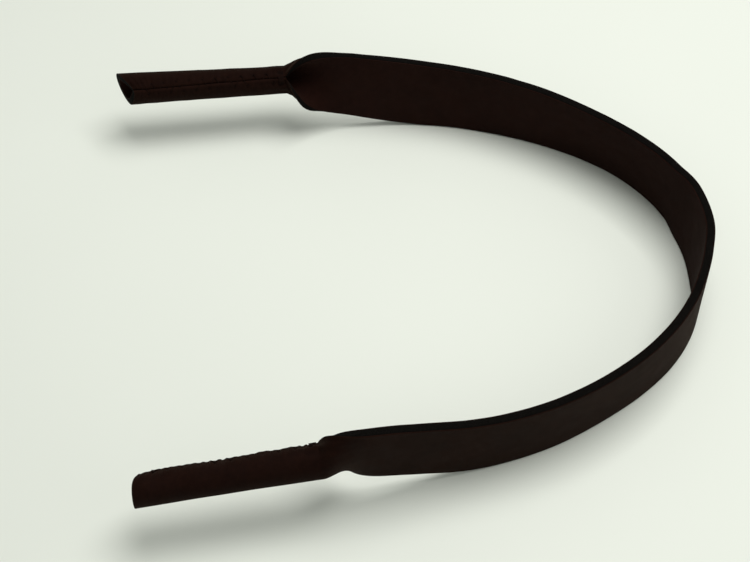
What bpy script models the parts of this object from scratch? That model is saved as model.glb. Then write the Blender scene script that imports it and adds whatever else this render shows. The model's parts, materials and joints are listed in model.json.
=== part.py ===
"""Eyeglass retainer strap: a laminated foam strip whose two ends are sewn into sleeves.

The strip stands on its lower edge in a loop that is open towards -X. Each end is rolled
about its own length into a tube and stitched edge to edge on the side that faces the head;
a temple arm of the glasses is pushed into each tube. The strip is three layers: an outer
knitted facing, a sponge core and an inner knitted facing that also lines the sleeves.

The bending of the soft strip is carried by upright hinges. Each hinge lies in the middle of
the strip's thickness. The piece on the far side of a hinge has a rounded core end about the
hinge line, and the piece on the near side is cut square with clearance, so both can turn.

Metres, +Z up. The wearer faces -X, so left is -Y. Origin: middle of the footprint, on the floor.
"""
import math

import bmesh
import bpy
import numpy as np
from mathutils import Matrix, Vector

# Driving dimensions of the flat strip
STRAP_WIDTH = 0.027
SLEEVE_BLANK_WIDTH = 0.0257
FOAM_THICKNESS = 0.0016
FACING_THICKNESS = 0.0003
LAYER_GAP = 0.0002
FACING_SETBACK = 0.00015

# How the ends are rolled into sleeves
SEAM_OPENING = 0.10
FLARE_LENGTH = 0.024
FLARE_POWER = 2.5
ROLLED_THICKNESS = 0.8
OVAL = 0.035
LEAST_ROLL = 1e-4

# How far each seam is turned up from facing the head, in degrees: at the throat, at the mouth
SEAM_TURN = {"left": (32.0, 28.0), "right": (55.0, 36.0)}

# Each mouth is cut at a slant: its outer side stands this share of its outward place further out
MOUTH_SLANT = {"left": 0.05, "right": 0.45}

# Upright hinges, as distances from the middle of the strap along its centreline
HINGES = (0.016, 0.048, 0.084, 0.130)
HINGE_CLEARANCE = 0.0003
ROUND_END_ANGLES = (75.0, 50.0, 25.0)

# Seam stitching
THREAD_RADIUS = 0.00022
THREAD_LIFT = 0.00025
STITCH_HALF_WIDTH = 0.0015
STITCH_PITCH = 0.0042
POINTS_PER_STITCH = 8
SEAM_START = 0.0022
TACK_LENGTH = 0.0018
TACK_HALF_WIDTH = 0.0021
TACK_THICKNESS = 0.0005
TACK_FROM_THROAT = 0.0006
TACK_GAP = 0.0006
TACK_COLUMNS = 6
TACK_ROWS = 2

# The centreline between the two throats, chosen by hand: x, y, and the outward lean of the
# strip in degrees
ROUTE = (
    (-0.0368, -0.0700, 0.0),
    (-0.0160, -0.0684, -1.0),
    (0.0060, -0.0662, 0.5),
    (0.0280, -0.0626, 1.5),
    (0.0480, -0.0549, 1.5),
    (0.0660, -0.0434, -2.0),
    (0.0790, -0.0276, -3.7),
    (0.0850, -0.0060, -2.0),
    (0.0805, 0.0140, -6.5),
    (0.0660, 0.0332, -9.0),
    (0.0470, 0.0474, -4.5),
    (0.0250, 0.0580, 0.5),
    (0.0040, 0.0640, 5.5),
    (-0.0170, 0.0676, 8.0),
    (-0.0322, 0.0700, 0.0),
)
MOUTH_X = {"left": -0.0852, "right": -0.0840}
ROUTE_SAMPLES = 3000
UPRIGHT_CORE = 0.006
UPRIGHT_FADE = 0.010

# The lower edge stands on the floor and rises towards each sleeve, by the sleeve's own height
RISE = {"left": 0.0086, "right": 0.0063}
RISE_FROM = 0.103
RISE_UNTIL = 0.148

# The blank narrows from the band's width to the sleeves' width over this stretch
NARROW_FROM = 0.105
NARROW_UNTIL = 0.145

# How finely the surfaces are cut; the throat's step is taken once the strip is rolled this far
BAND_STEP = 0.0045
FLARE_STEP = 0.0032
THROAT_STEP = 0.0011
TUBE_STEP = 0.0160
CLOSELY_CUT_FROM = 0.4
SHORTEST_STEP = 0.0011
BAND_COLUMNS = 6
SLEEVE_COLUMNS = 16
SHARP_EDGE = 40.0

THICKNESS = FOAM_THICKNESS + 2.0 * (LAYER_GAP + FACING_THICKNESS)
FULL_ROLL = 2.0 * math.pi - SEAM_OPENING
FACING_FLOOR = FOAM_THICKNESS / 2.0 + LAYER_GAP
LAYERS = {
    "outer_facing": (FACING_FLOOR, FACING_FLOOR + FACING_THICKNESS),
    "foam": (-FOAM_THICKNESS / 2.0, FOAM_THICKNESS / 2.0),
    "inner_facing": (-FACING_FLOOR - FACING_THICKNESS, -FACING_FLOOR),
}
FINISHES = {
    "outer_facing": ((0.0085, 0.0048, 0.0040), 0.88),
    "foam": ((0.0040, 0.0036, 0.0034), 0.95),
    "inner_facing": ((0.0066, 0.0040, 0.0030), 0.90),
    "thread": ((0.0120, 0.0085, 0.0070), 0.60),
}


def clear_scene():
    """Remove every object, so that the model starts from an empty scene."""
    for old in list(bpy.data.objects):
        bpy.data.objects.remove(old, do_unlink=True)


def smoothstep(value):
    """Ease from 0 to 1 with level ends."""
    value = np.clip(value, 0.0, 1.0)
    return value * value * (3.0 - 2.0 * value)


def clamped_spline(at, knots, values, first_slope, last_slope):
    """Smooth cubic curve through the rows of values, with given slopes at its two ends."""
    gaps = np.diff(knots)[:, None]
    steps = np.diff(values, axis=0)
    count = len(knots)
    system = np.eye(count)
    target = np.zeros_like(values)
    target[0] = first_slope
    target[-1] = last_slope
    for i in range(1, count - 1):
        before, after = 1.0 / gaps[i - 1, 0], 1.0 / gaps[i, 0]
        system[i, i - 1:i + 2] = (before, 2.0 * (before + after), after)
        target[i] = 3.0 * (steps[i - 1] * before ** 2 + steps[i] * after ** 2)
    slopes = np.linalg.solve(system, target)
    cell = np.clip(np.searchsorted(knots, at, side="right") - 1, 0, count - 2)
    width = gaps[cell]
    t = ((at - knots[cell])[:, None]) / width
    start = (1.0 + 2.0 * t) * (1.0 - t) ** 2 * values[cell]
    end = t ** 2 * (3.0 - 2.0 * t) * values[cell + 1]
    start_slope = t * (1.0 - t) ** 2 * width * slopes[cell]
    end_slope = t ** 2 * (t - 1.0) * width * slopes[cell + 1]
    return start + end + start_slope + end_slope


def make_centreline():
    """Sample the whole centreline, mouth to mouth, against its length from the middle."""
    route = np.array(ROUTE)
    knots = np.append(0.0, np.cumsum(np.hypot(*np.diff(route[:, :2], axis=0).T)))
    at = np.linspace(0.0, knots[-1], ROUTE_SAMPLES)
    curve = clamped_spline(at, knots, route, (1.0, 0.0, 0.0), (-1.0, 0.0, 0.0))
    left_mouth = (MOUTH_X["left"], *route[0, 1:])
    right_mouth = (MOUTH_X["right"], *route[-1, 1:])
    curve = np.vstack([left_mouth, curve, right_mouth])
    length = np.append(0.0, np.cumsum(np.hypot(*np.diff(curve[:, :2], axis=0).T)))
    half = length[-1] / 2.0
    tangent = np.gradient(curve[:, :2], length, axis=0)
    tangent[0] = tangent[1] = (1.0, 0.0)
    tangent[-1] = tangent[-2] = (-1.0, 0.0)
    throats = (half - length[1], length[-2] - half)
    return {"at": length - half, "curve": curve, "tangent": tangent, "half": half, "throats": throats}


LINE = make_centreline()
SIDES = {"left": -1.0, "right": 1.0}
THROATS = dict(zip(SIDES, LINE["throats"]))


def station(s):
    """Centre, outward direction, upward direction and path direction at lengths s."""
    s = np.asarray(s, dtype=float)
    x, y, lean = (np.interp(s, LINE["at"], LINE["curve"][:, i]) for i in range(3))
    full_rise = np.where(s < 0.0, RISE["left"], RISE["right"])
    rise = full_rise * smoothstep((np.abs(s) - RISE_FROM) / (RISE_UNTIL - RISE_FROM))
    along = np.stack([np.interp(s, LINE["at"], LINE["tangent"][:, i]) for i in (0, 1)], axis=-1)
    along = along / np.linalg.norm(along, axis=-1, keepdims=True)
    upright = smoothstep((np.abs(s) - UPRIGHT_CORE) / UPRIGHT_FADE)
    tilt = np.radians(lean) * upright
    height = rise + STRAP_WIDTH / 2.0 * np.cos(tilt) + THICKNESS / 2.0 * np.abs(np.sin(tilt))
    level = np.stack([along[..., 1], -along[..., 0], np.zeros_like(x)], axis=-1)
    vertical = np.array((0.0, 0.0, 1.0))
    cosine = np.cos(tilt)[..., None]
    sine = np.sin(tilt)[..., None]
    outward = cosine * level - sine * vertical
    upward = sine * level + cosine * vertical
    forward = np.stack([along[..., 0], along[..., 1], np.zeros_like(x)], axis=-1)
    return np.stack([x, y, height], axis=-1), outward, upward, forward


def roll_share(s):
    """How far the strip is rolled at lengths s: 1 in the sleeves, 0 in the flat band."""
    s = np.asarray(s, dtype=float)
    throat = np.where(s < 0.0, THROATS["left"], THROATS["right"])
    opened = np.clip((throat - np.abs(s)) / FLARE_LENGTH, 0.0, 1.0)
    return (1.0 - opened) ** FLARE_POWER


def seam_turn(s):
    """Angle in radians that the rolled section is turned by, which lifts its seam."""
    throat = np.where(s < 0.0, THROATS["left"], THROATS["right"])
    at_throat, at_mouth = (np.where(s < 0.0, SEAM_TURN["left"][i], SEAM_TURN["right"][i]) for i in (0, 1))
    passed = np.clip((np.abs(s) - throat) / (LINE["half"] - throat), 0.0, 1.0)
    return -np.radians(at_throat + (at_mouth - at_throat) * passed) * roll_share(s)


def section(s, across, offset):
    """Height and outward place in the section, for a share across the width and a layer offset.

    The strip bends about its length into an arc of a circle whose length is the strip's width.
    The arc's centre of gravity stays on the centreline, and the arc is turned about it.
    """
    share = roll_share(s)
    turn = seam_turn(s)
    roll = np.maximum(FULL_ROLL * share, LEAST_ROLL)
    narrowed = smoothstep((np.abs(s) - NARROW_FROM) / (NARROW_UNTIL - NARROW_FROM))
    radius = (STRAP_WIDTH + (SLEEVE_BLANK_WIDTH - STRAP_WIDTH) * narrowed) / roll
    offset = offset * (1.0 + (ROLLED_THICKNESS - 1.0) * share)
    angle = roll * across + turn
    centroid = radius * np.sin(roll / 2.0) / (roll / 2.0)
    high = ((radius + offset) * np.sin(angle) - centroid * np.sin(turn)) * (1.0 + OVAL * share)
    out = ((radius + offset) * np.cos(angle) - centroid * np.cos(turn)) * (1.0 - OVAL * share)
    return high, out


def surface(s, across, offset):
    """World points of the strip, for lengths s, shares across its width and layer offsets."""
    centre, outward, upward, _ = station(s)
    high, out = section(s, across, offset)
    return centre + high[..., None] * upward + out[..., None] * outward


def hinge_matrix(s):
    """Frame on a hinge line: X along the strap, Y inwards, Z up along the hinge."""
    centre, outward, upward, forward = station(s)
    axes = np.stack([np.cross(-outward, upward), -outward, upward], axis=-1)
    matrix = Matrix.Identity(4)
    for row in range(3):
        for column in range(3):
            matrix[row][column] = axes[row, column]
        matrix[row][3] = centre[row]
    return matrix


def step_at(s):
    """Distance to the next station: short where the strip flares, long in the plain tube."""
    share = float(roll_share(s))
    if share == 1.0:
        return TUBE_STEP
    if share > CLOSELY_CUT_FROM:
        return THROAT_STEP
    return FLARE_STEP if share > 0.0 else BAND_STEP


def lengths_between(side, start, end):
    """Distances from the middle, from start to end along one half of the strap."""
    stations = [start]
    while stations[-1] < end:
        stations.append(min(stations[-1] + step_at(side * stations[-1]), end))
    if stations[-1] - stations[-2] < SHORTEST_STEP and len(stations) > 2:
        del stations[-2]
    return stations


def add_object(name, data, finish, frame=None, parent=None):
    """Link an object with a material of its own, held by its parent empty."""
    colour, roughness = FINISHES[finish]
    material = bpy.data.materials.new(name)
    material.use_nodes = True
    shader = material.node_tree.nodes["Principled BSDF"]
    shader.inputs["Base Color"].default_value = (*colour, 1.0)
    shader.inputs["Roughness"].default_value = roughness
    shader.inputs["Metallic"].default_value = 0.0
    data.materials.append(material)
    piece = bpy.data.objects.new(name, data)
    bpy.context.scene.collection.objects.link(piece)
    piece.parent = parent
    if parent is None:
        piece.matrix_world = frame
    return piece


def loops_to_mesh(name, loops, frame):
    """Skin a run of closed section loops, and cap both ends with strips of quads.

    Each loop runs up the outer side and down the inner side. Every quad of the skin is split
    by the line from its flatter end's edgeward corner, so that the layers stay parallel.
    """
    shape = bmesh.new()
    inverse = frame.inverted()
    rings = []
    for loop in loops:
        rings.append([shape.verts.new(inverse @ Vector(point)) for point in loop])
    count = len(rings[0])
    columns = [min(i, count - 1 - i) for i in range(count)]
    from_edge = [min(column, count // 2 - 1 - column) for column in columns]
    for near, far in zip(rings[:-1], rings[1:]):
        for i in range(count):
            j = (i + 1) % count
            edge, middle = (i, j) if from_edge[i] < from_edge[j] else (j, i)
            shape.faces.new((near[edge], near[middle], far[middle]))
            shape.faces.new((near[edge], far[middle], far[edge]))
    for ring in (rings[0], rings[-1]):
        for i in range(count // 2 - 1):
            shape.faces.new((ring[i], ring[i + 1], ring[count - 2 - i], ring[count - 1 - i]))
    bmesh.ops.recalc_face_normals(shape, faces=shape.faces)
    mesh = bpy.data.meshes.new(name)
    shape.to_mesh(mesh)
    shape.free()
    mesh.shade_smooth()
    mesh.set_sharp_from_angle(angle=math.radians(SHARP_EDGE))
    return mesh


def layer_loops(layer, stations, columns, thinned=None, slant_station=None):
    """Closed section loops of one layer: up its outer side and down its inner side."""
    low, high = LAYERS[layer]
    setback = 0.0 if layer == "foam" else FACING_SETBACK / STRAP_WIDTH
    across = np.linspace(-0.5 + setback, 0.5 - setback, columns + 1)
    loops = []
    for index, s in enumerate(stations):
        share = thinned[index] if thinned else 1.0
        column = np.full_like(across, s)
        outer = surface(column, across, high * share)
        inner = surface(column, across, low * share)
        if index == slant_station:
            slant = MOUTH_SLANT["right"] if s > 0.0 else -MOUTH_SLANT["left"]
            forward = station(s)[3]
            outer += slant * section(column, across, high)[1][:, None] * forward
            inner += slant * section(column, across, low)[1][:, None] * forward
        loops.append(np.vstack([outer, inner[::-1]]))
    return loops


def add_layers(body, side, near, far, columns, frame, parent, mouth=False):
    """Make the three layers of one stretch of strap, from its hinge end to its other end."""
    for layer in LAYERS:
        stations = lengths_between(side, near, far)
        thinned = [1.0] * len(stations)
        if layer == "foam":
            angles = np.radians(ROUND_END_ANGLES)
            stations = [near - FOAM_THICKNESS / 2.0 * math.sin(a) for a in angles] + stations
            thinned = [math.cos(a) for a in angles] + thinned
        slant_station = len(stations) - 1 if mouth else None
        signed = [side * s for s in stations]
        loops = layer_loops(layer, signed, columns, thinned, slant_station)
        name = f"{layer}_{body}"
        add_object(name, loops_to_mesh(name, loops, frame), layer, frame, parent)


def add_back():
    """Make the middle stretch, which is cut square at both ends and stands on the floor."""
    reach = HINGES[0] - THICKNESS / 2.0 - HINGE_CLEARANCE
    steps = 2 * round(reach / BAND_STEP)
    stations = list(np.linspace(-reach, reach, steps + 1))
    frame = hinge_matrix(0.0)
    for layer in LAYERS:
        name = f"{layer}_back"
        loops = layer_loops(layer, stations, BAND_COLUMNS)
        add_object(name, loops_to_mesh(name, loops, frame), layer, frame)


def add_hinge(name, s, parent, parent_frame):
    """Put an empty on a hinge line; its local Z is the axis."""
    empty = bpy.data.objects.new(name, None)
    empty.empty_display_size = STRAP_WIDTH / 2.0
    bpy.context.scene.collection.objects.link(empty)
    frame = hinge_matrix(s)
    empty.parent = parent
    empty.matrix_local = parent_frame.inverted() @ frame
    return empty, frame


def seam_point(s, sideways, lift):
    """Point over the seam line of a sleeve: sideways round the tube, lifted off its facing."""
    radius = SLEEVE_BLANK_WIDTH / FULL_ROLL
    across = (math.pi + sideways / radius) / FULL_ROLL
    return surface(s, across, THICKNESS / 2.0 + lift / ROLLED_THICKNESS)


def add_seam_thread(name, side, mouth, stop, frame, parent):
    """Make the zigzag thread that joins the sleeve's edges, as one wavy tube on the sleeve."""
    stitches = round((mouth - stop) / STITCH_PITCH)
    s = np.linspace(stop, mouth, stitches * POINTS_PER_STITCH + 1)
    wave = STITCH_HALF_WIDTH * np.sin(2.0 * math.pi * stitches * (s - stop) / (mouth - stop))
    points = seam_point(side * s, wave, THREAD_LIFT + THREAD_RADIUS)
    curve = bpy.data.curves.new(name, "CURVE")
    curve.dimensions = "3D"
    curve.bevel_depth = THREAD_RADIUS
    curve.bevel_resolution = 1
    curve.use_fill_caps = True
    spline = curve.splines.new("POLY")
    spline.points.add(len(points) - 1)
    inverse = frame.inverted()
    for target, point in zip(spline.points, points):
        target.co = (*(inverse @ Vector(point)), 1.0)
    add_object(name, curve, "thread", frame, parent)


def add_throat_tack(name, side, start, frame, parent):
    """Make the short block of back-and-forth stitches that ends the seam at the throat."""
    sideways = np.linspace(-TACK_HALF_WIDTH, TACK_HALF_WIDTH, TACK_COLUMNS + 1)
    loops = []
    for s in np.linspace(start, start + TACK_LENGTH, TACK_ROWS + 1):
        column = np.full_like(sideways, side * s)
        top = seam_point(column, sideways, THREAD_LIFT + TACK_THICKNESS)
        bottom = seam_point(column, sideways, THREAD_LIFT)
        loops.append(np.vstack([top, bottom[::-1]]))
    add_object(name, loops_to_mesh(name, loops, frame), "thread", frame, parent)


def add_arm(side_name):
    """Make one half of the strap: three stretches of band and the sleeve, each on its hinge."""
    side = SIDES[side_name]
    parent, parent_frame = None, Matrix.Identity(4)
    ends = [hinge - THICKNESS / 2.0 - HINGE_CLEARANCE for hinge in HINGES[1:]] + [LINE["half"]]
    for number, (near, far) in enumerate(zip(HINGES, ends), start=1):
        is_sleeve = number == len(HINGES)
        body = f"{side_name}_sleeve" if is_sleeve else f"{side_name}_band_{number}"
        parent, parent_frame = add_hinge(f"{body}_hinge", side * near, parent, parent_frame)
        columns = SLEEVE_COLUMNS if is_sleeve else BAND_COLUMNS
        add_layers(body, side, near, far, columns, parent_frame, parent, mouth=is_sleeve)
    throat = THROATS[side_name]
    tack_start = throat + TACK_FROM_THROAT
    thread_stop = tack_start + TACK_LENGTH + TACK_GAP
    mouth = LINE["half"] - SEAM_START
    add_seam_thread(f"{side_name}_seam_thread", side, mouth, thread_stop, parent_frame, parent)
    add_throat_tack(f"{side_name}_throat_tack", side, tack_start, parent_frame, parent)


clear_scene()
add_back()
for arm in SIDES:
    add_arm(arm)
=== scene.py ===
# %% [markdown]
# # An eyeglass retainer strap
#
# The real strap is one long strip of sponge rubber with a thin knitted facing bonded to each
# face. Each end is rolled about its own length and sewn edge to edge, which makes a sleeve that
# slips over a temple arm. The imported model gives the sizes, the bodies and the joints. This file
# gives each layer its real surface: cut edges, knit, puckers and stitches.
#
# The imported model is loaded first, and everything else is placed from it.

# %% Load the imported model
import json
import math

import bpy
import numpy as np
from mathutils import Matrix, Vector

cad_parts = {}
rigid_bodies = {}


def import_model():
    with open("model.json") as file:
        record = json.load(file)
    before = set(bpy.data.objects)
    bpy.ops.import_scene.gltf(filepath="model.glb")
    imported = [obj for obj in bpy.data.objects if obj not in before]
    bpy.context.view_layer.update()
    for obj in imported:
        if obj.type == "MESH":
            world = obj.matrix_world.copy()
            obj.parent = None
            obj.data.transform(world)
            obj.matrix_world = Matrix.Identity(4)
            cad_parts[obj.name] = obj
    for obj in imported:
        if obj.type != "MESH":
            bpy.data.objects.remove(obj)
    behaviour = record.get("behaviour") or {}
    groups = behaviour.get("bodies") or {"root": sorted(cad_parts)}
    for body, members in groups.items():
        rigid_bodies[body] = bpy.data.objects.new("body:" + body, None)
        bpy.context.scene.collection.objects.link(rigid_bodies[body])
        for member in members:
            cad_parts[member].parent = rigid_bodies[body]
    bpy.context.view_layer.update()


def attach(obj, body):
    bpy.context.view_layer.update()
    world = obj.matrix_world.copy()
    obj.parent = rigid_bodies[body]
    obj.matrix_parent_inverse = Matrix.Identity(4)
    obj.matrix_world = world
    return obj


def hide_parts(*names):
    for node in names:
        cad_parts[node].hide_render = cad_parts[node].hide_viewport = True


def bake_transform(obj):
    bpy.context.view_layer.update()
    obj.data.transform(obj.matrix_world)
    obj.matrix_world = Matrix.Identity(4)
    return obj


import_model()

# %% [markdown]
# ## The viewer
#
# The strap is small, so the viewer looks down on it from about 40 cm away, a little to the left,
# through a lens slightly longer than normal. A longer lens would flatten the loop and a shorter
# one would swell its near side. The viewer comes first because every size that is judged depends
# on it.

# %% Place the viewer
EYE = Vector((-0.0426, -0.2132, 0.3192))
AIM = Vector((-0.0126, 0.0, 0.0))
viewer = bpy.data.objects.new("viewer", bpy.data.cameras.new("viewer"))
bpy.context.scene.collection.objects.link(viewer)
viewer.data.lens = 60.0
viewer.data.clip_start = 0.01
viewer.location = EYE
viewer.rotation_mode = "QUATERNION"
viewer.rotation_quaternion = (AIM - EYE).to_track_quat("-Z", "Y")
bpy.context.scene.camera = viewer
print("viewer is", round((EYE - AIM).length, 3), "m from the middle of the loop")

# %% [markdown]
# ## The route of the strip
#
# The strap stands on its lower edge in a loop. A soft strip that is bent this way follows a
# smooth curve, so its middle line is a cubic curve through a few points, with its two ends
# running straight into the sleeves. Drawing it as arcs and straight runs would show as kinks.
# Each point also says how far the strip leans outwards there, in degrees.

# %% Points of the route: x, y, lean
ROUTE = np.array((
    (-0.0368, -0.0700, 0.0), (-0.0160, -0.0684, -1.0), (0.0060, -0.0662, 0.5),
    (0.0280, -0.0626, 1.5), (0.0480, -0.0549, 1.5), (0.0660, -0.0434, -2.0),
    (0.0790, -0.0276, -3.7), (0.0850, -0.0060, -2.0), (0.0805, 0.0140, -6.5),
    (0.0660, 0.0332, -9.0), (0.0470, 0.0474, -4.5), (0.0250, 0.0580, 0.5),
    (0.0040, 0.0640, 5.5), (-0.0170, 0.0676, 8.0), (-0.0322, 0.0700, 0.0),
))
MOUTH_X = {"left": -0.0852, "right": -0.0840}
SIDES = {"left": -1.0, "right": 1.0}


def ease(t):
    """From 0 to 1 with level ends: 3 t squared less 2 t cubed."""
    t = np.clip(t, 0.0, 1.0)
    return t * t * (3.0 - 2.0 * t)


def smooth_curve(at, knots, rows, first_slope, last_slope):
    """A cubic through the rows whose slopes make the bending continuous at each knot.

    Between two knots it is the sum of the two rows and the two slopes, each times its own
    cubic weight. The slopes solve one line of equations for each inner knot.
    """
    gaps = np.diff(knots)
    inner = np.arange(1, len(knots) - 1)
    system = np.eye(len(knots))
    system[inner, inner - 1] = 1.0 / gaps[:-1]
    system[inner, inner] = 2.0 / gaps[:-1] + 2.0 / gaps[1:]
    system[inner, inner + 1] = 1.0 / gaps[1:]
    rise = np.diff(rows, axis=0) / gaps[:, None] ** 2
    target = np.vstack([first_slope, 3.0 * (rise[:-1] + rise[1:]), last_slope])
    slopes = np.linalg.solve(system, target)
    cell = np.clip(np.searchsorted(knots, at, side="right") - 1, 0, len(gaps) - 1)
    width = gaps[cell][:, None]
    t = (at - knots[cell])[:, None] / width
    ends = (1 + 2 * t) * (1 - t) ** 2 * rows[cell] + t ** 2 * (3 - 2 * t) * rows[cell + 1]
    return ends + width * (t * (1 - t) ** 2 * slopes[cell] + t ** 2 * (t - 1) * slopes[cell + 1])


# %% Measure the route from the middle of the strap
KNOTS = np.append(0.0, np.cumsum(np.hypot(*np.diff(ROUTE[:, :2], axis=0).T)))
LINE = smooth_curve(np.linspace(0.0, KNOTS[-1], 3000), KNOTS, ROUTE, (1, 0, 0), (-1, 0, 0))
LINE = np.vstack([(MOUTH_X["left"], *ROUTE[0, 1:]), LINE, (MOUTH_X["right"], *ROUTE[-1, 1:])])
ALONG = np.append(0.0, np.cumsum(np.hypot(*np.diff(LINE[:, :2], axis=0).T)))
HEADING = np.gradient(LINE[:, :2], ALONG, axis=0)
HEADING[:2], HEADING[-2:] = (1.0, 0.0), (-1.0, 0.0)
HALF = ALONG[-1] / 2.0
THROAT = {"left": HALF - ALONG[1], "right": ALONG[-2] - HALF}
ALONG = ALONG - HALF
SLEEVE_MM = {side: round(1000 * (HALF - throat), 1) for side, throat in THROAT.items()}
print("strap, mm:", round(2000 * HALF, 1), "sleeves:", SLEEVE_MM)

# %% [markdown]
# ## From a flat strip to a rolled sleeve
#
# A point of the flat strip has three numbers: how far along it is from the middle of the strap,
# how far across from the middle of the strip, and how far out from the middle of its thickness.
# Laying the strip turns those into a place. In the band the strip is flat. Through the throat it
# curls into an arc of a circle, and in the sleeve the arc closes. The rolled section is also
# turned about its own middle, so the seam ends up above the side that faces the head. A plain
# tube joined to a plain band would show neither the opening at the throat nor that turn.

# %% Sizes of the strip and of its rolled ends
STRAP_WIDTH = 0.027
THROAT_WIDTH, MOUTH_WIDTH = {"left": 0.0236, "right": 0.0214}, {"left": 0.0224, "right": 0.0256}
SPONGE, FACING, THICKNESS = 0.0020, 0.0003, 0.0026
SEAM_OPENING, FLARE_LENGTH = 0.10, 0.024
FLARE_POWER = {"left": 4.6, "right": 2.5}
ROLLED_THICKNESS, OVAL, LEAST_ROLL = 0.8, 0.035, 1e-4
FULL_ROLL = 2.0 * math.pi - SEAM_OPENING
SEAM_CLOSING = 0.021
RISE = {"left": 0.0086, "right": 0.0063}
TURN_AT_THROAT, TURN_AT_MOUTH = {"left": 32.0, "right": 55.0}, {"left": 28.0, "right": 36.0}
MOUTH_SLANT, SLANT_FADE = {"left": 0.05, "right": 0.45}, 0.012
SLEEVE_WAIST, MOUTH_TUCK, TUCK_REACH = 0.0010, 0.0016, 0.0032
NARROWING_FROM, NARROWING_LENGTH = 0.105, 0.043
RISE_FROM, RISE_LENGTH = 0.103, 0.045
LEAN_FROM, LEAN_LENGTH = 0.006, 0.010
THROAT_SHIFT = {"left": (-0.0008, 0.0003), "right": (-0.0007, -0.0006)}
MOUTH_SHIFT = {"left": (0.0006, -0.0004), "right": (0.0010, 0.0010)}


def per_side(s, values):
    """The left value where s is negative and the right one elsewhere."""
    return np.where(s < 0.0, values["left"], values["right"])


def roll_share(s):
    """0 in the flat band and 1 in the sleeve: the share of the flare passed, to a power."""
    opened = np.clip((per_side(s, THROAT) - np.abs(s)) / FLARE_LENGTH, 0.0, 1.0)
    return (1.0 - opened) ** per_side(s, FLARE_POWER)


def sleeve_share(s):
    """0 up to the throat, then the share of the sleeve passed, 1 at its mouth."""
    throat = per_side(s, THROAT)
    return np.clip((np.abs(s) - throat) / (HALF - throat), 0.0, 1.0)


def blank_width(s):
    """Width of the flat strip: eased from the band to the throat, then evenly to the mouth.

    A sine of the sleeve's share takes a little off its middle, as the pull of the seam does.
    """
    at_throat, at_mouth = per_side(s, THROAT_WIDTH), per_side(s, MOUTH_WIDTH)
    narrowed = (at_throat - STRAP_WIDTH) * ease((np.abs(s) - NARROWING_FROM) / NARROWING_LENGTH)
    waist = SLEEVE_WAIST * np.sin(math.pi * sleeve_share(s))
    return STRAP_WIDTH + narrowed + (at_mouth - at_throat) * sleeve_share(s) - waist


def slack(s, way):
    """How far the soft sleeve hangs off its straight line: outwards for way 0, upwards for way 1."""
    throat = per_side(s, {side: shift[way] for side, shift in THROAT_SHIFT.items()})
    mouth = per_side(s, {side: shift[way] for side, shift in MOUTH_SHIFT.items()})
    return throat * ease((np.abs(s) - NARROWING_FROM) / NARROWING_LENGTH) + (mouth - throat) * sleeve_share(s)


def seam_turn(s):
    """Angle in radians that the rolled section is turned by, which lifts its seam."""
    at_throat, at_mouth = per_side(s, TURN_AT_THROAT), per_side(s, TURN_AT_MOUTH)
    return -np.radians(at_throat + (at_mouth - at_throat) * sleeve_share(s)) * roll_share(s)


def strip_frame(s):
    """Middle point, outward, upward and onward directions of the strip at lengths s.

    Outward is square to the heading and tipped by the lean. The middle is half a width up that
    tipped line from the floor, plus an eased rise towards the sleeve and the sleeve's slack.
    """
    x, y, lean = (np.interp(s, ALONG, LINE[:, i]) for i in range(3))
    onward = np.stack([np.interp(s, ALONG, HEADING[:, i]) for i in (0, 1)] + [0.0 * x], axis=-1)
    onward /= np.linalg.norm(onward, axis=-1, keepdims=True)
    tilt = np.radians(lean) * ease((np.abs(s) - LEAN_FROM) / LEAN_LENGTH)
    lift = per_side(s, RISE) * ease((np.abs(s) - RISE_FROM) / RISE_LENGTH)
    z = lift + STRAP_WIDTH / 2 * np.cos(tilt) + THICKNESS / 2 * np.abs(np.sin(tilt))
    level = np.stack([onward[..., 1], -onward[..., 0], 0.0 * x], axis=-1)
    cosine, sine, up = np.cos(tilt)[..., None], np.sin(tilt)[..., None], np.array((0.0, 0.0, 1.0))
    middle = np.stack([x, y, z], axis=-1)
    middle = middle + slack(s, 0)[..., None] * level + slack(s, 1)[..., None] * up
    return middle, cosine * level - sine * up, sine * level + cosine * up, onward


def lay(s, across, out):
    """Places of the points (s, across, out) of the flat strip once it is laid and rolled.

    The section is an arc whose length is the strip's width, turned about the arc's centre of
    gravity, so height is radius times sine and outward place is radius times cosine, each less
    the centre's. At the mouth, points move along by a share of their outward place, and the
    seam's end is tucked back.
    """
    share, turn = roll_share(s), seam_turn(s)
    roll = np.maximum(FULL_ROLL * share, LEAST_ROLL)
    radius = blank_width(s) / roll
    centre = radius * np.sin(roll / 2) / (roll / 2)
    angle = roll * across / STRAP_WIDTH * (1.0 + SEAM_CLOSING * share) + turn
    reach = radius + out * (1.0 + (ROLLED_THICKNESS - 1.0) * share)
    high = (reach * np.sin(angle) - centre * np.sin(turn)) * (1.0 + OVAL * share)
    outward_place = (reach * np.cos(angle) - centre * np.cos(turn)) * (1.0 - OVAL * share)
    middle, outward, upward, onward = strip_frame(s)
    tucked = MOUTH_TUCK * np.exp(-((STRAP_WIDTH / 2 - np.abs(across)) / TUCK_REACH) ** 2)
    at_mouth = ease((np.abs(s) - HALF) / SLANT_FADE + 1.0)
    slant = (per_side(s, MOUTH_SLANT) * outward_place - tucked) * at_mouth
    place = middle + high[..., None] * upward + outward_place[..., None] * outward
    return place + (np.sign(s) * slant)[..., None] * onward


edge = lay(np.array([0.0, 0.0]), np.array([-0.5, 0.5]) * STRAP_WIDTH, np.zeros(2))
print("the band's edges stand at, mm:", np.round(1000 * edge[:, 2], 2))

# %% [markdown]
# ## Small unevenness
#
# Nothing sewn or cut by hand is perfectly even. Value noise gives that: seeded random numbers
# stand on a square lattice and are eased from one to the next. The seed makes it the same every
# time. It is worked out for whole arrays at once.

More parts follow.
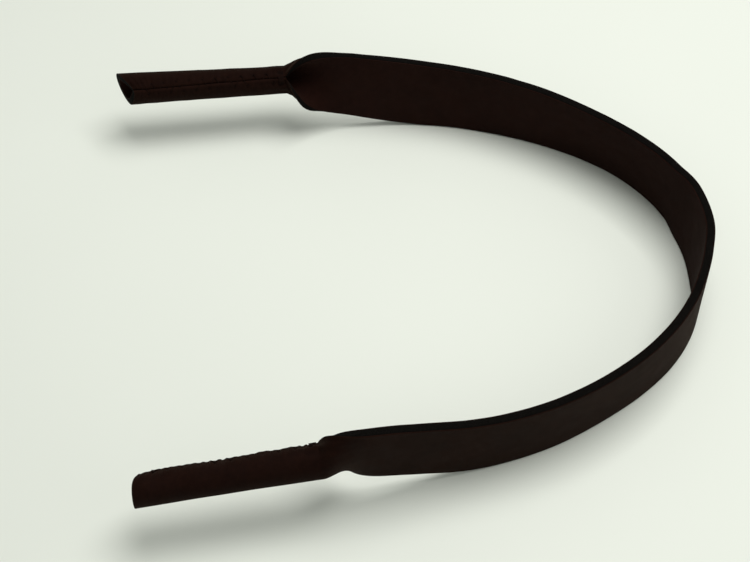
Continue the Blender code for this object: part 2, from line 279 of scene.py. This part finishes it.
# %% Value noise on a lattice
LATTICE = np.random.default_rng(41).uniform(-1.0, 1.0, (256, 256))


def uneven(a, b=0.0, seed=0):
    """Smooth noise from -1 to 1: the four lattice values round (a, b), eased across the cell."""
    a, b = np.broadcast_arrays(np.asarray(a, float) + 17.3 * seed, np.asarray(b, float) + 9.1 * seed)
    i, j = np.floor(a).astype(int), np.floor(b).astype(int)
    p, q = ease(a - i), ease(b - j)
    near = LATTICE[i % 256, j % 256] * (1 - p) + LATTICE[(i + 1) % 256, j % 256] * p
    far = LATTICE[i % 256, (j + 1) % 256] * (1 - p) + LATTICE[(i + 1) % 256, (j + 1) % 256] * p
    return near * (1 - q) + far * q


print("noise runs from", np.round(LATTICE.min(), 2), "to", np.round(LATTICE.max(), 2))

# %% [markdown]
# ## How stitching shapes the strip
#
# A zigzag stitch joins each sleeve's two edges. Each needle hole pulls the cloth down, so the
# strip swells between the holes, and the two edges roll into a shallow groove. Where the seam
# stops, at the throat, the cloth gathers in short folds. All three layers are bonded, so one
# relief is worked out for the strip and added to every layer, and no layer can cut into
# another. The rest of the strip has only faint, broad waves from having been rolled up.

# %% Stitch line of each sleeve
STITCH_PITCH, STITCH_HALF_WIDTH, THREAD = 0.0042, 0.0015, 0.00014
TACK_HALF_WIDTH, TACK_LENGTH, TACK_START, TACK_WAVES = 0.0018, 0.0018, 0.0006, 5
STITCH_HIGH, TACK_HIGH, NEEDLE_DEPTH = 0.00004, 0.00020, 0.00022
SEAM_FIRST = {side: THROAT[side] + 0.0030 for side in SIDES}
SEAM_LAST = HALF - 0.0036
STITCHES = {side: round((SEAM_LAST - SEAM_FIRST[side]) / STITCH_PITCH) for side in SIDES}
print("zigzag waves per sleeve:", STITCHES)


def stitch_turn(s):
    """The zigzag's phase in radians at lengths s: one whole turn for each wave."""
    first = per_side(s, SEAM_FIRST)
    return 2.0 * math.pi * per_side(s, STITCHES) * (np.abs(s) - first) / (SEAM_LAST - first)


def relief(s, across):
    """How far the whole strip stands out at a point of the flat strip.

    It is the sum of broad waves, the seam's groove and lips, the pull of each needle hole, the
    swelling between holes, uneven lumps, the seam's end sinking in at the mouth, and the folds
    at the throat. All but the broad waves fade with distance from the seam.
    """
    width = STRAP_WIDTH / 2 - np.abs(across)
    from_throat = np.abs(s) - per_side(s, THROAT)
    sewn = ease(from_throat / 0.004 + 0.5)
    broad = 0.00010 * uneven(s / 0.024, across / 0.016) + 0.00004 * uneven(s / 0.008, across / 0.009, 1)
    lip = 0.00016 * np.exp(-((width - 0.0009) / 0.0006) ** 2)
    groove = lip - 0.00030 * np.exp(-(width / 0.00035) ** 2)
    wave = np.sin(stitch_turn(s))
    hole = np.clip(-np.sign(across) * wave, 0.0, 1.0) ** 6
    pull = -0.00030 * hole * np.exp(-((width - STITCH_HALF_WIDTH) / 0.0007) ** 2)
    swell = 0.00014 * np.cos(2.0 * stitch_turn(s)) * np.exp(-((width - 0.0024) / 0.0018) ** 2)
    lumps = 0.00040 * uneven(s / 0.0036, np.sign(across), 2) * np.exp(-(width / 0.0050) ** 2)
    fold = np.cos(2.0 * math.pi * width / 0.0030 + 2.0 * uneven(s / 0.006, 0.0, 3))
    sunk = -0.00055 * ease((np.abs(s) - HALF) / 0.0035 + 1.0) * np.exp(-(width / 0.0030) ** 2)
    gather = 0.00030 * fold * np.exp(-(from_throat / 0.0055) ** 2) * np.exp(-(width / 0.0070) ** 2)
    return broad + sewn * (groove + pull + swell + lumps + sunk) + gather


# %% Wander of the cut edges
def trimmed(s, across):
    """Across places after cutting: each edge wanders inwards a little, and not in the sleeves."""
    side = np.sign(across)
    wander = 0.00026 + 0.00016 * uneven(s / 0.015, side, 4) + 0.00010 * uneven(s / 0.0045, side, 5)
    near_edge = ease((np.abs(across) / (STRAP_WIDTH / 2) - 0.8) / 0.2)
    return across - side * wander * near_edge * (1.0 - roll_share(s))


print("deepest relief, mm:", round(1000 * float(relief(np.linspace(-HALF, HALF, 4000), 0.0120).min()), 2))

# %% [markdown]
# ## Outlines of the layers
#
# Each layer is an outline carried along the strip: a flat bar with rounded edges. The columns
# stand closer together near the two edges, where the stitches and the cut need them. The
# knitted facings are 0.3 mm thick. The sponge fills the room between them, and its raw edge
# swells a little past them, because the facings hold its two faces back.

# %% Outline of a flat bar with rounded edges
def bar_outline(half_width, low, high, columns, round_points, swell):
    """Across and out places round the bar, and the numbers of its top and bottom rows.

    The top runs from one edge to the other, spaced by a sine so that it is densest at the edges.
    Each edge is half an ellipse whose long half-axis is half the thickness. The bottom runs back.
    """
    t = np.linspace(-1.0, 1.0, columns + 1)
    row = half_width * np.sin(0.375 * math.pi * t) / math.sin(0.375 * math.pi)
    turn = np.linspace(0.0, math.pi, round_points + 2)[1:-1]
    edge_across = half_width + swell * np.sin(turn)
    edge_out = (high + low) / 2 + (high - low) / 2 * np.cos(turn)
    across = np.concatenate([row, edge_across, row[::-1], -edge_across[::-1]])
    out = np.concatenate([0 * row + high, edge_out, 0 * row + low, edge_out[::-1]])
    on_edge = np.concatenate([0 * row, np.sin(turn), 0 * row, np.sin(turn)])
    return {"across": across, "out": out, "on_edge": on_edge, "columns": columns, "round": round_points}


BOND, GLUE = SPONGE / 2, 0.00002
FACING_HALF, FACING_SWELL = 0.01328, 0.00010
SPONGE_HALF, SPONGE_SWELL = 0.01336, 0.00022
OUTLINES = {
    "outer_facing": bar_outline(FACING_HALF, BOND, BOND + FACING, 60, 3, FACING_SWELL),
    "foam": bar_outline(SPONGE_HALF, -BOND + GLUE, BOND - GLUE, 24, 9, SPONGE_SWELL),
    "inner_facing": bar_outline(FACING_HALF, -BOND - FACING, -BOND, 60, 3, FACING_SWELL),
}
print("points round each outline:", {name: len(o["across"]) for name, o in OUTLINES.items()})

# %% [markdown]
# ## From a grid of points to a closed mesh
#
# A layer is a grid: one row for each step along the strap, one column for each point of the
# outline. Neighbouring rows are joined by four-sided faces, and the two ends are closed with
# strips across the thickness. The grid also carries a flat map in metres, length by girth, so
# that the knit keeps its real size and follows the cloth round every bend.

# %% Skin a grid
def skin(name, points, along, bar):
    """A closed mesh through rows of outline points, with its flat map in metres.

    Point numbers are row times the outline's length plus column, for whole arrays at once. Each
    face goes along the strap first and round the outline second, so it faces outwards. The two
    ends are closed by strips between the top and bottom rows and by a lid on each rounded edge.
    """
    rows, count = points.shape[:2]
    row, column = np.meshgrid(np.arange(rows - 1), np.arange(count), indexing="ij")
    level = np.stack([row, row + 1, row + 1, row], axis=-1).reshape(-1, 4)
    step = np.stack([column, column, column + 1, column + 1], axis=-1).reshape(-1, 4)
    across, out = bar["across"], bar["out"]
    girth = np.hypot(np.roll(across, -1) - across, np.roll(out, -1) - out)
    girth = np.append(0.0, np.cumsum(girth)) + across[0]
    faces = (level * count + step % count).tolist()
    flat_map = [np.stack([along[level], girth[step]], axis=-1).reshape(-1, 2)]
    m, k = bar["columns"], bar["round"]
    top = np.arange(m)
    strips = np.stack([top, top + 1, 2 * m + k - top, 2 * m + k + 1 - top], axis=-1)
    right = np.arange(m, m + k + 2)[None, :]
    left = np.append(np.arange(2 * m + k + 1, count), 0)[None, :]
    for last, part in [(last, part) for last in (0, rows - 1) for part in (strips, right, left)]:
        part = part[:, ::-1] if last else part
        faces += (part + last * count).tolist()
        flat_map.append(np.stack([np.full(part.size, along[last]), girth[part.ravel()]], axis=-1))
    mesh = bpy.data.meshes.new(name)
    mesh.from_pydata(points.reshape(-1, 3), [], faces)
    flat_map = np.vstack(flat_map).astype(np.float32)
    mesh.uv_layers.new(name="cloth").data.foreach_set("uv", flat_map.ravel())
    mesh.shade_smooth()
    mesh.set_sharp_from_angle(angle=math.radians(50.0))
    piece = bpy.data.objects.new(name, mesh)
    bpy.context.scene.collection.objects.link(piece)
    return piece


# %% [markdown]
# ## The layers, stretch by stretch
# The real layers run unbroken from end to end. Here the strap is cut, in the plain middle of
# each rigid stretch, into four lengths a side. Neighbours share their last row of points, so the
# cut never opens. A single long mesh could follow only two bodies.

# %% Lengths of the strap: from, to, the joint's place, half of the bend, the two bodies
LENGTHS = (
    (0.0, 0.0320, 0.016, 0.014, "back", "band_1"),
    (0.0320, 0.0660, 0.048, 0.014, "band_1", "band_2"),
    (0.0660, 0.1085, 0.084, 0.016, "band_2", "band_3"),
    (0.1085, HALF, 0.130, 0.015, "band_3", "sleeve"),
)
BAND_STEP, SLEEVE_STEP = 0.00075, 0.0005


def make_layer(layer, side, number, start, end):
    """One layer of one length: the outline laid at even steps, with the relief added.

    The raw sponge edge also gets fine noise, and its swell goes where the strip is rolled.
    """
    bar = OUTLINES[layer]
    count = math.ceil((end - start) / (SLEEVE_STEP if end == HALF else BAND_STEP)) + 1
    stations = np.linspace(start, end, count)
    stations = -stations[::-1] if side == "left" else stations
    s, across = np.broadcast_arrays(stations[:, None], bar["across"][None, :])
    edge = np.sign(across) * bar["on_edge"]
    out = bar["out"] + relief(s, np.clip(across, -SPONGE_HALF, SPONGE_HALF))
    if layer == "foam":
        crumb = 0.00007 * uneven(s / 0.0011, bar["out"] / 0.0006, 6)
        across = across + edge * (crumb - SPONGE_SWELL * roll_share(s))
    return skin(f"{layer}_{side}_{number}", lay(s, trimmed(s, across), out), stations, bar)


LAYERS = {}
for layer in OUTLINES:
    for side in SIDES:
        for number, (start, end, *_) in enumerate(LENGTHS, start=1):
            LAYERS[layer, side, number] = make_layer(layer, side, number, start, end)
print("layer pieces:", len(LAYERS), "faces:", sum(len(p.data.polygons) for p in LAYERS.values()))

# %% [markdown]
# ## The thread
#
# The seam is a zigzag of two-ply thread: each leg crosses the two butted edges, dives into a
# needle hole, and comes up again. It is a thin tube carried along that path. A round tube would
# look like wire, so its girth has two lobes that turn as it goes, which is what twisting two
# plies gives. At the throat the same thread goes back and forth over a short block, the tack,
# which stops the seam from running open.

# %% Carry a twisted thread along a path
def twist_thread(name, path, outward, radius):
    """A tube of two lobes along a path, closed at both ends.

    Round each path point: sideways times cosine plus lifted times sine, times the radius, times
    one plus a cosine of twice the angle less twice the twist so far.
    """
    girth, twist = 10, 0.0012
    pace = np.gradient(path, axis=0)
    pace /= np.linalg.norm(pace, axis=1, keepdims=True)
    sideways = np.cross(pace, outward)
    sideways /= np.linalg.norm(sideways, axis=1, keepdims=True)
    lifted = np.cross(sideways, pace)
    along = np.append(0.0, np.cumsum(np.linalg.norm(np.diff(path, axis=0), axis=1)))
    turn = np.linspace(0.0, 2.0 * math.pi, girth, endpoint=False)[None, :]
    lobe = radius * (0.88 + 0.14 * np.cos(2.0 * (turn - 2.0 * math.pi * along[:, None] / twist)))
    points = path[:, None] + (lobe * np.cos(turn))[..., None] * sideways[:, None]
    points = points + (lobe * np.sin(turn))[..., None] * lifted[:, None]
    row, column = np.meshgrid(np.arange(len(path) - 1), np.arange(girth), indexing="ij")
    after = (column + 1) % girth
    faces = np.stack([row * girth + column, row * girth + after, (row + 1) * girth + after,
                      (row + 1) * girth + column], axis=-1).reshape(-1, 4).tolist()
    faces += [list(range(girth))[::-1], list(range((len(path) - 1) * girth, len(path) * girth))]
    mesh = bpy.data.meshes.new(name)
    mesh.from_pydata(points.reshape(-1, 3), [], faces)
    mesh.shade_smooth()
    mesh.set_sharp_from_angle(angle=math.radians(60.0))
    piece = bpy.data.objects.new(name, mesh)
    bpy.context.scene.collection.objects.link(piece)
    return piece


# %% Stitch the seams
def over_seam(side, s, sideways, lift):
    """A place over the seam: sideways round the sleeve from where its edges meet, lifted off it."""
    radius = blank_width(SIDES[side] * s) / FULL_ROLL
    across = (math.pi + sideways / radius) * STRAP_WIDTH / (FULL_ROLL * (1.0 + SEAM_CLOSING))
    return lay(SIDES[side] * s, across, THICKNESS / 2 + lift / ROLLED_THICKNESS)


def zigzag(side, first, last, waves, half_width, high, points_per_wave):
    """A rounded triangle wave over the seam that rises in mid-leg and dives at each turn."""
    s = np.linspace(first, last, waves * points_per_wave + 1)
    turn = 2.0 * math.pi * waves * (s - first) / (last - first)
    sideways = half_width * np.arcsin(0.97 * np.sin(turn)) / math.asin(0.97)
    lift = -NEEDLE_DEPTH + (high + NEEDLE_DEPTH) * np.abs(np.cos(turn)) ** 0.6
    path = over_seam(side, s, sideways, lift)
    return path, over_seam(side, s, sideways, lift + 0.001) - path


THREADS = {}
for side in SIDES:
    seam = zigzag(side, SEAM_FIRST[side], SEAM_LAST, STITCHES[side], STITCH_HALF_WIDTH, STITCH_HIGH, 60)
    THREADS[side, "seam"] = twist_thread(f"{side}_seam_stitches", *seam, THREAD)
    first = THROAT[side] + TACK_START
    tack = zigzag(side, first, first + TACK_LENGTH, TACK_WAVES, TACK_HALF_WIDTH, TACK_HIGH, 60)
    THREADS[side, "tack"] = twist_thread(f"{side}_throat_stitches", *tack, THREAD)
print("thread pieces:", {p.name: len(p.data.polygons) for p in THREADS.values()})

# %% [markdown]
# ## Materials as recipes
#
# A material is a small recipe of nodes. Each helper adds one step and hands on its result, so a
# recipe reads from top to bottom. Numbers that are the same all over go straight on the shader.

# %% Helpers for a recipe
def new_recipe(name, roughness, gloss, sheen, sheen_roughness, sheen_tint):
    """An empty recipe with its shader's constant values set."""
    material = bpy.data.materials.new(name)
    material.use_nodes = True
    shader = material.node_tree.nodes["Principled BSDF"]
    shader.inputs["Roughness"].default_value = roughness
    shader.inputs["Specular IOR Level"].default_value = gloss
    shader.inputs["Sheen Weight"].default_value = sheen
    shader.inputs["Sheen Roughness"].default_value = sheen_roughness
    shader.inputs["Sheen Tint"].default_value = (*sheen_tint, 1.0)
    return material, material.node_tree, shader


def work_out(tree, operation, *values):
    """One sum: each value is a number or the result of another step."""
    step = tree.nodes.new("ShaderNodeMath")
    step.operation = operation
    for socket, value in zip(step.inputs, values):
        if isinstance(value, (int, float)):
            socket.default_value = value
        else:
            tree.links.new(value, socket)
    return step.outputs[0]


def grain(tree, place, scale, detail=2.0, roughness=0.5):
    """Noise from 0 to 1 at a place, with features about one over the scale across."""
    step = tree.nodes.new("ShaderNodeTexNoise")
    step.inputs["Scale"].default_value = scale
    step.inputs["Detail"].default_value = detail
    step.inputs["Roughness"].default_value = roughness
    tree.links.new(place, step.inputs["Vector"])
    return step.outputs["Fac"]


def shades(tree, amount, stops):
    """A run of colours: amount picks the place along the stops, each (place, colour)."""
    step = tree.nodes.new("ShaderNodeValToRGB")
    ramp = step.color_ramp.elements
    while len(ramp) < len(stops):
        ramp.new(0.5)
    for element, (place, colour) in zip(ramp, stops):
        element.position = place
        element.color = (*colour, 1.0)
    tree.links.new(amount, step.inputs["Fac"])
    return step.outputs["Color"]


def raise_up(tree, shader, height, distance, strength):
    """Turn a height into small slopes of the surface."""
    step = tree.nodes.new("ShaderNodeBump")
    step.inputs["Distance"].default_value = distance
    step.inputs["Strength"].default_value = strength
    tree.links.new(height, step.inputs["Height"])
    tree.links.new(step.outputs["Normal"], shader.inputs["Normal"])


def object_place(tree):
    """The point's own place in the model, which stays with the piece when it moves."""
    return tree.nodes.new("ShaderNodeTexCoord").outputs["Object"]


# %% [markdown]
# ## Knitted facing
#
# The facing is a fine jersey knit. Its loops stand in columns along the strap, each loop a small
# V, about twenty columns to the centimetre. Dyed nylon of this kind is matt with a soft bloom of
# light at grazing angles, which is the sheen. The V pattern is worked out on the flat map, so it
# keeps its size; noise varies the yarn, and a broader noise varies the dye.

# %% The knit
WALE, COURSE, LEG_SLANT = 0.00052, 0.00046, 0.9


def knit(name, dark, light, sheen, sheen_tint):
    """Jersey knit.

    f is the distance from a column's middle, 0 to a half. A leg's height is the sine of f's whole
    turn. Along a leg the loops swell as a sine of length over pitch plus the slant times f, which
    makes the V. Colour goes from dark in the gaps to light on the loops, times the dye's noise; the
    dark in the gaps between the loops is painted shade.
    """
    material, tree, shader = new_recipe(name, 0.82, 0.05, sheen, 0.42, sheen_tint)
    spread = tree.nodes.new("ShaderNodeSeparateXYZ")
    flat_map = tree.nodes.new("ShaderNodeUVMap")
    flat_map.uv_map = "cloth"
    tree.links.new(flat_map.outputs["UV"], spread.inputs["Vector"])
    along, girth = spread.outputs["X"], spread.outputs["Y"]
    place = object_place(tree)
    column = work_out(tree, "FRACT", work_out(tree, "DIVIDE", girth, WALE))
    middle = work_out(tree, "ABSOLUTE", work_out(tree, "SUBTRACT", column, 0.5))
    leg = work_out(tree, "SINE", work_out(tree, "MULTIPLY", middle, 2.0 * math.pi))
    courses = work_out(tree, "DIVIDE", along, COURSE)
    phase = work_out(tree, "ADD", courses, work_out(tree, "MULTIPLY", middle, LEG_SLANT * 2.0))
    loop = work_out(tree, "SINE", work_out(tree, "MULTIPLY", phase, 2.0 * math.pi))
    loop = work_out(tree, "MULTIPLY_ADD", loop, 0.25, 0.65)
    yarn = work_out(tree, "MULTIPLY_ADD", grain(tree, place, 2600.0), 0.5, 0.75)
    height = work_out(tree, "MULTIPLY", work_out(tree, "MULTIPLY", leg, loop), yarn)
    dye = work_out(tree, "MULTIPLY_ADD", grain(tree, place, 70.0, 4.0, 0.6), 0.9, -0.2)
    fine = work_out(tree, "MULTIPLY_ADD", grain(tree, place, 520.0, 3.0, 0.6), 0.6, -0.3)
    edge = work_out(tree, "SUBTRACT", work_out(tree, "ABSOLUTE", girth), 0.0124)
    worn = work_out(tree, "MULTIPLY", work_out(tree, "MAXIMUM", edge, 0.0), 260.0)
    # Darker where the loops are low: painted shade in the gaps between the loops.
    amount = work_out(tree, "ADD", work_out(tree, "MULTIPLY", height, 0.45), work_out(tree, "ADD", dye, fine))
    amount = work_out(tree, "ADD", amount, work_out(tree, "MINIMUM", worn, 0.18))
    tree.links.new(shades(tree, amount, ((0.0, dark), (1.0, light))), shader.inputs["Base Color"])
    rough = work_out(tree, "MULTIPLY_ADD", grain(tree, place, 240.0), 0.22, 0.72)
    tree.links.new(rough, shader.inputs["Roughness"])
    raise_up(tree, shader, height, 0.00009, 0.55)
    return material


OUTER_KNIT = knit("dark_brown_knit", (0.0038, 0.0010, 0.0006), (0.0150, 0.0050, 0.0028),
                  0.028, (0.80, 0.52, 0.30))
INNER_KNIT = knit("dark_brown_lining", (0.0044, 0.0011, 0.0007), (0.0165, 0.0054, 0.0034),
                  0.027, (0.68, 0.50, 0.36))
print("knit materials:", OUTER_KNIT.name, INNER_KNIT.name)

# %% [markdown]
# ## Raw sponge edge
#
# Where the strip is cut, closed bubbles of sponge rubber show as tiny pits, a third of a
# millimetre wide, in a soft black face. Round cells with a dark middle give the pits; the dark
# middle is painted shade in each pit. It takes its place from the object, because the cut has no
# thread direction.

# %% The sponge
def sponge(name, dark, light):
    """Cells about a third of a millimetre across: colour and height rise from each middle."""
    material, tree, shader = new_recipe(name, 0.95, 0.03, 0.01, 0.6, (0.5, 0.5, 0.48))
    place = object_place(tree)
    cells = tree.nodes.new("ShaderNodeTexVoronoi")
    cells.inputs["Scale"].default_value = 2800.0
    tree.links.new(place, cells.inputs["Vector"])
    # The distance from each cell's middle sets the pit's depth and its colour: the dark middle is painted
    # shade in the pit.
    height = work_out(tree, "MULTIPLY", cells.outputs["Distance"], 1.3)
    cloudy = work_out(tree, "MULTIPLY", grain(tree, place, 300.0, 3.0), 0.5)
    amount = work_out(tree, "MULTIPLY_ADD", height, 0.6, cloudy)
    tree.links.new(shades(tree, amount, ((0.15, dark), (0.95, light))), shader.inputs["Base Color"])
    raise_up(tree, shader, height, 0.00012, 0.7)
    return material


SPONGE_EDGE = sponge("black_sponge", (0.0010, 0.0008, 0.0007), (0.0050, 0.0042, 0.0036))
print("sponge material:", SPONGE_EDGE.name)

# %% [markdown]
# ## Thread finish
#
# The thread is matt and close to the cloth in colour, so a seam shows as a line of small puckers
# more than as stitches; a glossy thread would stand out as pale beads. Its plies are in the mesh,
# and the recipe adds the fine fibres and uneven dye.

# %% The thread
def spun(name, dark, light):
    """Fine fibre noise for the height and a broader noise for the colour."""
    material, tree, shader = new_recipe(name, 0.75, 0.05, 0.01, 0.35, (0.70, 0.52, 0.40))
    place = object_place(tree)
    fibres = grain(tree, place, 9000.0, 2.0)
    dye = shades(tree, grain(tree, place, 900.0), ((0.3, dark), (0.7, light)))
    tree.links.new(dye, shader.inputs["Base Color"])
    raise_up(tree, shader, fibres, 0.00003, 0.6)
    return material


STITCHING = spun("brown_thread", (0.0036, 0.0012, 0.0008), (0.0100, 0.0038, 0.0024))
print("thread material:", STITCHING.name)

# %% [markdown]
# ## Finish, bodies and the parts they stand for
#
# Every piece gets its finish. The thread rides on its sleeve's body, which is stiff there; the
# layers get no body. The plain parts of the packed model that each piece stands for are hidden,
# and still carry the collisions.

# %% Finish the layers and hide the parts they stand for
FINISH = {
    "outer_facing": (OUTER_KNIT, "outer_knit"),
    "foam": (SPONGE_EDGE, "foam_core"),
    "inner_facing": (INNER_KNIT, "inner_knit"),
}


def floor_point(s):
    """The place on the floor under the strip's middle line at length s."""
    x, y = strip_frame(np.array([s]))[0][0, :2]
    return float(x), float(y), 0.0


for (layer, side, number), piece in LAYERS.items():
    start, end, joint, half_bend, near, far = LENGTHS[number - 1]
    near = near if near == "back" else f"{side}_{near}"
    material, slot = FINISH[layer]
    piece.data.materials.append(material)
    sign = SIDES[side]
    floor_point(sign * (joint - half_bend))
    floor_point(sign * (joint + half_bend))
    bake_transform(piece)
    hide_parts(f"{layer}_{near}", f"{layer}_{side}_{far}")

for (side, kind), piece in THREADS.items():
    piece.data.materials.append(STITCHING)
    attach(piece, f"{side}_sleeve")
    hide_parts(f"{side}_seam_thread" if kind == "seam" else f"{side}_throat_tack")
print("pieces with a body:", len(LAYERS) + len(THREADS))

# %% [markdown]
# ## Cloth and sponge, as cut
#
# The facings are sheets. The flat area of one facing, as cut, is worked out: its length along the
# strap times the strip's width, which narrows for the sleeve. They are bonded to the sponge, which
# is the padding.

# %% The flat area of the facings
def cut_area(side, start, end):
    """Length times width where the width varies: its mean over even steps."""
    width = blank_width(SIDES[side] * np.linspace(start, end, 400))
    return float(width.mean() * (end - start))


for (layer, side, number), piece in LAYERS.items():
    start, end = LENGTHS[number - 1][:2]
    if layer == "foam":
        continue
FACING_AREA = sum(cut_area(side, *row[:2]) for side in SIDES for row in LENGTHS)
print("flat area of one facing, cm2:", round(1e4 * FACING_AREA, 1))

# %% [markdown]
# ## Floor and light
#
# A plain pale floor and broad soft lights show a dark, matt object best: small lamps would leave
# it a black shape with hard shadows. The main light hangs nearly overhead, a little to the right,
# so that each sleeve's shadow lies softly under it. The floor is not part of the object.

# %% The floor
def lay_floor(reach, colour):
    """A flat square on z = 0 with a faint, broad unevenness of shade."""
    mesh = bpy.data.meshes.new("floor")
    corners = [(-reach, -reach, 0.0), (reach, -reach, 0.0), (reach, reach, 0.0), (-reach, reach, 0.0)]
    mesh.from_pydata(corners, [], [(0, 1, 2, 3)])
    floor = bpy.data.objects.new("floor", mesh)
    bpy.context.scene.collection.objects.link(floor)
    material, tree, shader = new_recipe("pale_board", 0.6, 0.2, 0.0, 0.5, (1.0, 1.0, 1.0))
    darker = tuple(0.97 * value for value in colour)
    cloudy = grain(tree, object_place(tree), 6.0, 2.0)
    tree.links.new(shades(tree, cloudy, ((0.3, darker), (0.7, colour))), shader.inputs["Base Color"])
    mesh.materials.append(material)


lay_floor(2.0, (0.800, 0.825, 0.760))
print("floor is 4 m square")


# %% The lights
def hang_light(name, place, aim, width, depth, watts, colour):
    """A flat glowing panel of the given size, turned towards its aim."""
    lamp = bpy.data.lights.new(name, "AREA")
    lamp.shape = "RECTANGLE"
    lamp.size, lamp.size_y, lamp.energy, lamp.color = width, depth, watts, colour
    panel = bpy.data.objects.new(name, lamp)
    panel.location = place
    panel.rotation_mode = "QUATERNION"
    panel.rotation_quaternion = (Vector(aim) - Vector(place)).to_track_quat("-Z", "Y")
    bpy.context.scene.collection.objects.link(panel)


hang_light("main_panel", (0.15, 0.08, 0.65), (0.0, 0.0, 0.0), 0.38, 0.38, 3.60, (1.0, 1.0, 0.98))
hang_light("side_panel", (0.9, -0.5, 0.8), (0.05, 0.0, 0.0), 0.9, 0.9, 1.2, (1.0, 0.99, 0.96))
room = bpy.data.worlds.new("room")
bpy.context.scene.world = room
room.use_nodes = True
room.node_tree.nodes["Background"].inputs["Color"].default_value = (0.93, 0.97, 0.92, 1.0)
room.node_tree.nodes["Background"].inputs["Strength"].default_value = 0.37
bpy.context.scene.view_settings.view_transform = "Standard"
